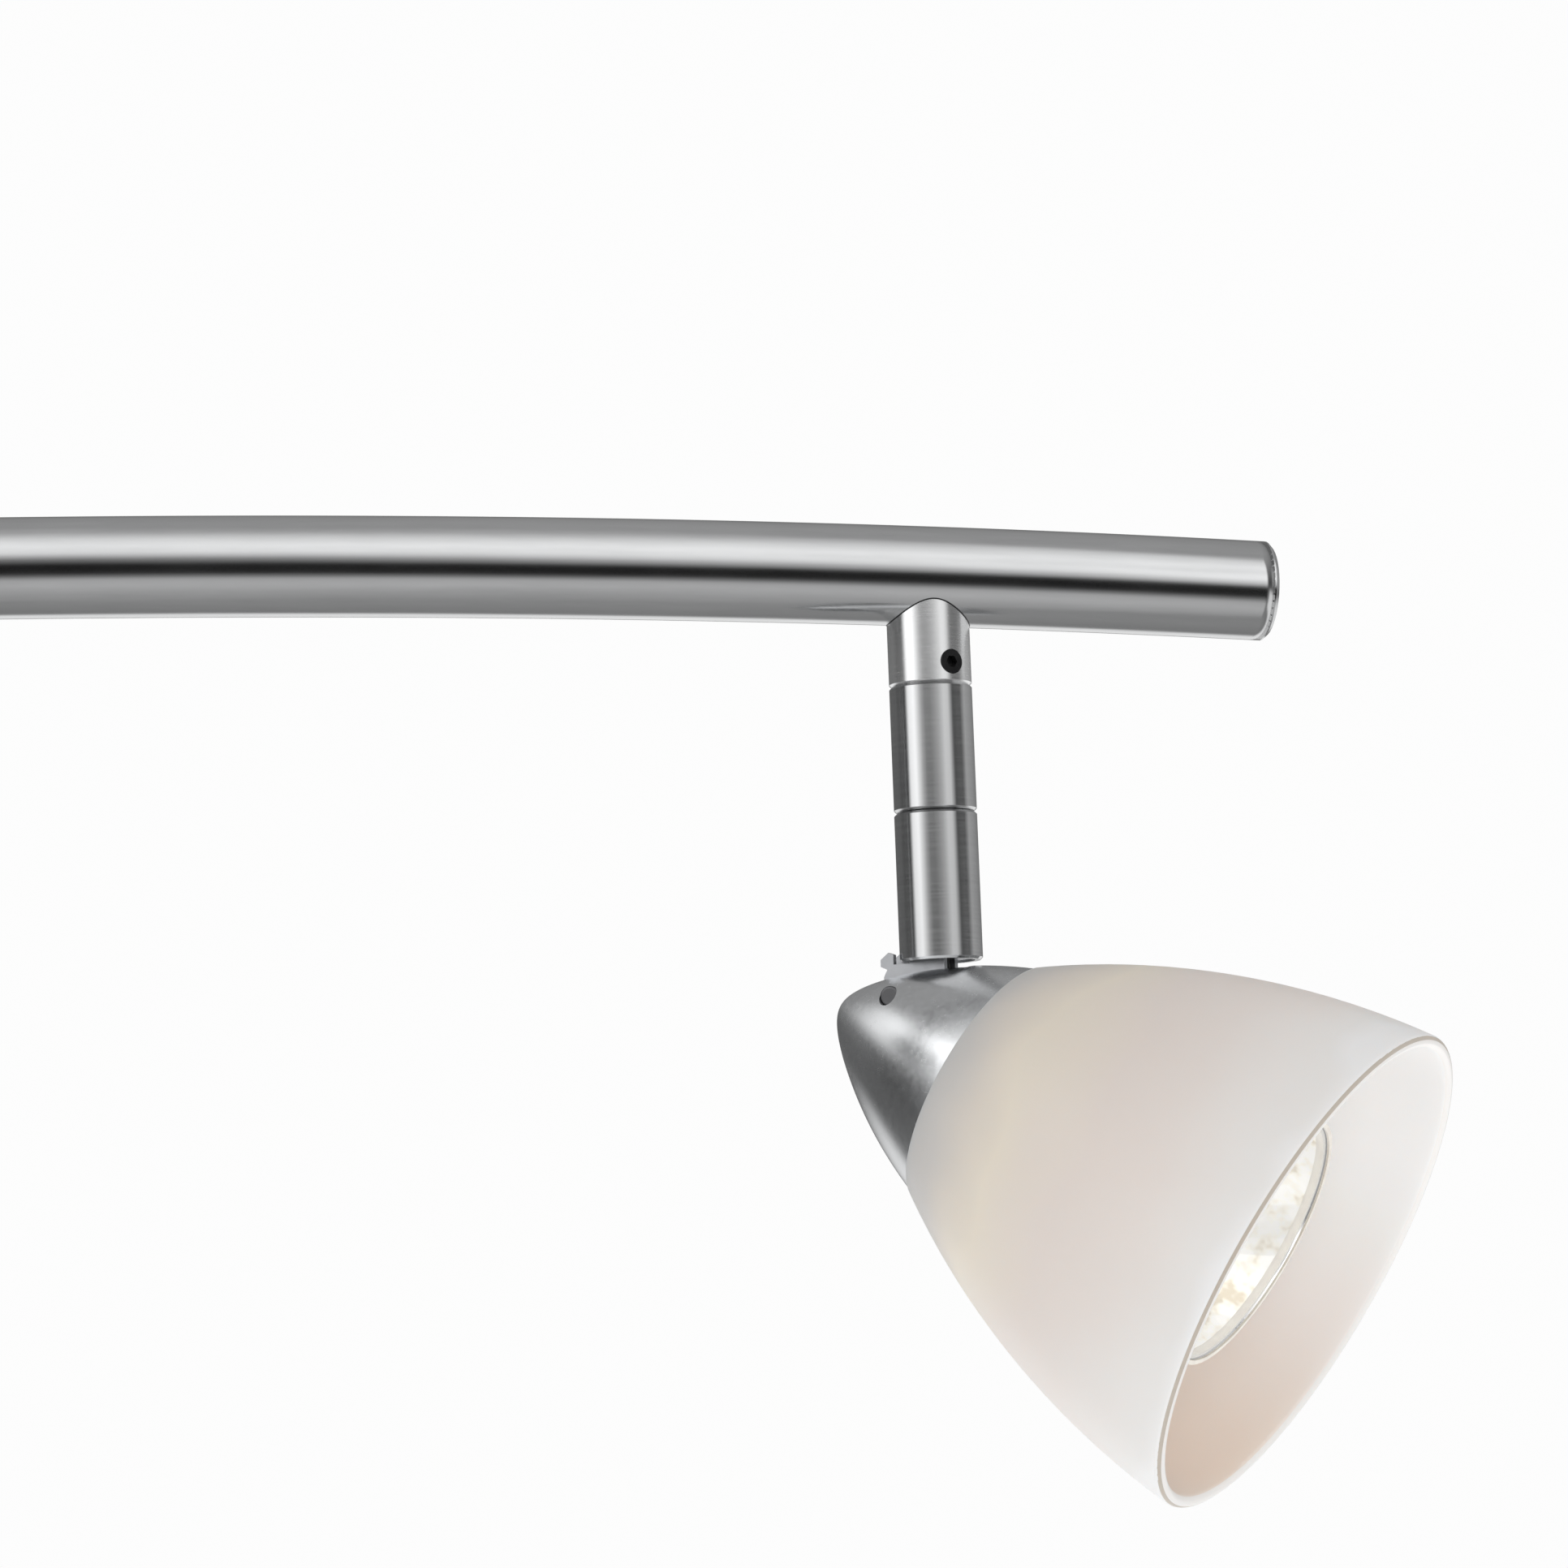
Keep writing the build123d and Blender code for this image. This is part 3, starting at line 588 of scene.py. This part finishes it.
def head_lead(side, material):
    """The lead in one skin along its route."""
    tilt = joint(f"tilt_{side}")
    aim = Vector(tilt["axis"]).cross(Vector((0, 0, 1)))
    stem = Vector(joint(f"swivel_{side}")["pos_m"])
    origin = Vector((stem.x, stem.y, bar_point(stem.x).z))
    corners = [origin + aim * t + Vector((0, 0, z)) for t, z in LEAD_ROUTE]
    line = bpy.data.curves.new("lead_line", "CURVE")
    line.dimensions = "3D"
    line.resolution_u = 12
    spline = line.splines.new("NURBS")
    spline.points.add(len(corners) - 1)
    for point, corner in zip(spline.points, corners):
        point.co = (*corner, 1)
    spline.order_u = 3
    spline.use_endpoint_u = True
    holder = bpy.data.objects.new("lead_line", line)
    traced = bpy.data.meshes.new_from_object(holder)
    route = [vertex.co.copy() for vertex in traced.vertices]
    bpy.data.objects.remove(holder)
    bpy.data.meshes.remove(traced)
    lead = pipe(f"head_lead_skin_{side}", route, Vector(tilt["axis"]), LEAD_RADIUS, material)
    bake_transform(lead)
    return lead


# ---- Light, floor and camera ----


def world_light():
    """A studio: overhead bank, dark gap at eye level, upright strips, a box up left, low light behind."""
    world = bpy.data.worlds.new("studio")
    bpy.context.scene.world = world
    world.use_nodes = True
    tree = world.node_tree
    tree.nodes.clear()

    def node(kind, **settings):
        made = tree.nodes.new("ShaderNode" + kind)
        for key, value in settings.items():
            setattr(made, key, value)
        return made

    def maths(operation, a, b=None):
        made = node("Math", operation=operation)
        for socket, value in zip(made.inputs, (a, b)):
            if isinstance(value, (int, float)):
                socket.default_value = value
            elif value is not None:
                tree.links.new(value, socket)
        return made.outputs[0]

    def ramp(factor, stops, span):
        low, high = span
        made = node("ValToRGB")
        elements = made.color_ramp.elements
        while len(elements) < len(stops):
            elements.new(0.5)
        for element, (angle, value) in zip(elements, stops):
            element.position = (angle - low) / (high - low)
            element.color = (value, value, value, 1)
        share = maths("DIVIDE", maths("SUBTRACT", factor, low), high - low)
        tree.links.new(share, made.inputs["Fac"])
        return made.outputs["Color"]

    def combine(kind, a, b):
        made = node("MixRGB", blend_type=kind)
        made.inputs["Fac"].default_value = 1.0
        tree.links.new(a, made.inputs["Color1"])
        tree.links.new(b, made.inputs["Color2"])
        return made.outputs[0]

    split = node("SeparateXYZ")
    tree.links.new(node("TexCoord").outputs["Generated"], split.inputs[0])
    x, y, z = split.outputs
    degrees = 180 / math.pi
    height = maths("MULTIPLY", maths("ARCSINE", z), degrees)
    # Swing measured to the right from the direction back to where the camera stands at first. It
    # is fixed in the room, so the light stays put when the camera moves.
    right, ahead = math.cos(VIEW_YAW), math.sin(VIEW_YAW)
    fx = maths("ADD", maths("MULTIPLY", x, right), maths("MULTIPLY", y, ahead))
    fy = maths("SUBTRACT", maths("MULTIPLY", x, ahead), maths("MULTIPLY", y, right))
    swing = maths("MULTIPLY", maths("ARCTAN2", fx, fy), degrees)
    front = ramp(height, FRONT_BANDS, (-90, 90))
    rear = ramp(height, REAR_BANDS, (-90, 90))
    is_front = ramp(swing, FRONT_REACH, (-180, 180))
    blend = node("MixRGB")
    tree.links.new(is_front, blend.inputs["Fac"])
    tree.links.new(rear, blend.inputs["Color1"])
    tree.links.new(front, blend.inputs["Color2"])
    total = blend.outputs[0]
    boxes = ((STRIPS, STRIP_HEIGHT), (BOX_REACH, BOX_HEIGHT), (BACK_REACH, BACK_HEIGHT))
    for reach, window in boxes:
        shape = combine("MULTIPLY", ramp(swing, reach, (-180, 180)), ramp(height, window, (-90, 90)))
        total = combine("ADD", total, shape)
    light = node("Background")
    light.inputs["Strength"].default_value = LIGHT_LEVEL
    tree.links.new(total, light.inputs["Color"])
    fill = node("Background")
    tree.links.new(ramp(height, SOFT_FILL, (-90, 90)), fill.inputs["Color"])
    path = node("LightPath").outputs
    lighting = node("MixShader")
    tree.links.new(path["Is Glossy Ray"], lighting.inputs["Fac"])
    tree.links.new(fill.outputs[0], lighting.inputs[1])
    tree.links.new(light.outputs[0], lighting.inputs[2])
    backdrop = node("Background")
    backdrop.inputs["Color"].default_value = (0.98, 0.98, 0.98, 1)
    mix = node("MixShader")
    tree.links.new(path["Is Camera Ray"], mix.inputs["Fac"])
    tree.links.new(lighting.outputs[0], mix.inputs[1])
    tree.links.new(backdrop.outputs[0], mix.inputs[2])
    out = node("OutputWorld")
    tree.links.new(mix.outputs[0], out.inputs["Surface"])


def floor():
    made = Shader("floor_paint")
    made.set(Roughness=0.8)
    mottle = made.noise(object_place(made), 0.7, detail=2)
    made.link(
        made.ramp(mottle, (0.3, (0.92, 0.92, 0.92)), (0.7, (0.95, 0.95, 0.95))),
        made.bsdf.inputs["Base Color"],
    )
    turns = ((-1, -1), (1, -1), (1, 1), (-1, 1))
    corners = [(a * FLOOR_HALF, b * FLOOR_HALF, -FLOOR_DEPTH) for a, b in turns]
    piece = new_mesh("floor", corners, [(0, 1, 2, 3)], made.material)
    piece.visible_glossy = False
    piece.visible_diffuse = False


def camera():
    data = bpy.data.cameras.new("camera")
    data.sensor_width = 36
    data.lens = CAMERA_LENS
    data.clip_start = 0.05
    data.clip_end = 60
    eye = bpy.data.objects.new("camera", data)
    bpy.context.collection.objects.link(eye)
    turn = (
        Matrix.Rotation(VIEW_YAW, 3, "Z")
        @ Matrix.Rotation(VIEW_PITCH, 3, "X")
        @ Matrix.Rotation(VIEW_ROLL, 3, "Y")
    )
    right, ahead, up = turn.col[0], turn.col[1], turn.col[2]
    basis = Matrix((right, up, -ahead)).transposed()
    place = bar_point(CAMERA_STEM) + Vector(CAMERA_FROM_BAR)
    eye.matrix_world = Matrix.Translation(place) @ basis.to_4x4()
    bpy.context.scene.camera = eye


# ---- Build ----


def paint(material, *names):
    for name in names:
        node = frame["nodes"][name]
        node.data.materials.clear()
        node.data.materials.append(material)


def each(*stems):
    return [f"{stem}_{side}" for stem in stems for side in SIDES]


world_light()
floor()
camera()

NICKEL = (0.60, 0.605, 0.61)
turned = grained_metal("turned_nickel", (0.62, 0.625, 0.63), 0.18, (1, 1, 30), 90, "Z", 0.9)
satin = grained_metal("satin_nickel", (0.85, 0.855, 0.86), 0.24, (1, 1, 14), 260, "Z", 0.5, 0.88)
cap = grained_metal("cap_nickel", NICKEL, 0.17, (1, 1, 1), 900, anisotropic=0.0)
cast = grained_metal("cast_nickel", (0.71, 0.72, 0.73), 0.24, (1, 1, 1), 700, anisotropic=0.0)
disc = grained_metal("spun_nickel", NICKEL, 0.28, (1, 1, 8), 600, "Z")
zinc = grained_metal("zinc_plate", (0.54, 0.55, 0.57), 0.40, (1, 1, 1), 700, None, 0.0, 0.88)
# Very dark: the pin's steel, partly painted shade for the recess that its end sits in.
rivet = grained_metal("rivet_steel", (0.15, 0.15, 0.155), 0.42, (1, 1, 1), 700, anisotropic=0.0)
black = plain("black_oxide", (0.012, 0.012, 0.013), 0.25)
rubber = plain("lead_black", (0.015, 0.015, 0.015), 0.45)
ceramic = plain("lamp_ceramic", (0.86, 0.84, 0.78), 0.5, scale=250)
grey = plain("connector_grey", (0.42, 0.42, 0.42), 0.4)
green = plain("ground_green", (0.04, 0.28, 0.08), 0.3, metallic=0.6)
mirror = lamp_mirror()

paint(turned, *each("upper_stem", "lower_stem"), "post")
paint(cap, "end_caps")
paint(satin, *each("collar"))
paint(disc, "canopy", "canopy_cap_nuts")
paint(cast, *each("cup"))
paint(zinc, *each("hinge_bracket", "swivel_ring", "socket_carrier", "shade_retainer"))
paint(rivet, *each("hinge_pin"))
paint(zinc, "mounting_bar", "canopy_studs", "canopy_nut", "nipple_nuts", "threaded_nipples")
paint(black, "set_screws")
paint(rubber, "supply_leads", *each("head_lead"))
paint(grey, "wire_connectors")
paint(green, "ground_screw")
paint(ceramic, *each("lamp_socket", "lamp_base"))
for side in SIDES:
    paint(frosted_glass(side), f"shade_{side}")
paint(plain("lamp_shell", (0.97, 0.89, 0.79), 0.2, scale=250), *each("lamp_reflector"))
# Kept out of reflections, so that the metal beside them stays neutral.
for name in each("shade", "lamp_reflector", "lamp_socket", "lamp_base", "socket_carrier", "lamp_lens"):
    frame["nodes"][name].visible_glossy = False
paint(clear_glass("lamp_front_glass", (1.0, 0.985, 0.95)), *each("lamp_lens"))

tube = bar_tube(bar_metal())
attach(tube, "ceiling_part")
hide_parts("bar_tube")

glow = glowing("lamp_glow", (1.0, 0.95, 0.87), 1.6)
for side in SIDES:
    facets = reflector_facets(side, mirror)
    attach(facets, f"head_{side}")
    capsule = lamp_capsule(side, glow)
    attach(capsule, f"head_{side}")
    facets.visible_glossy = False
    capsule.visible_glossy = False
    lead = head_lead(side, rubber)
    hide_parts(f"head_lead_{side}")
    # A dark ring of painted shade in the gap where each collar meets the bar.
    seam = collar_gap_shade(side, black)
    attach(seam, "ceiling_part")

bpy.context.scene.view_settings.view_transform = "Standard"
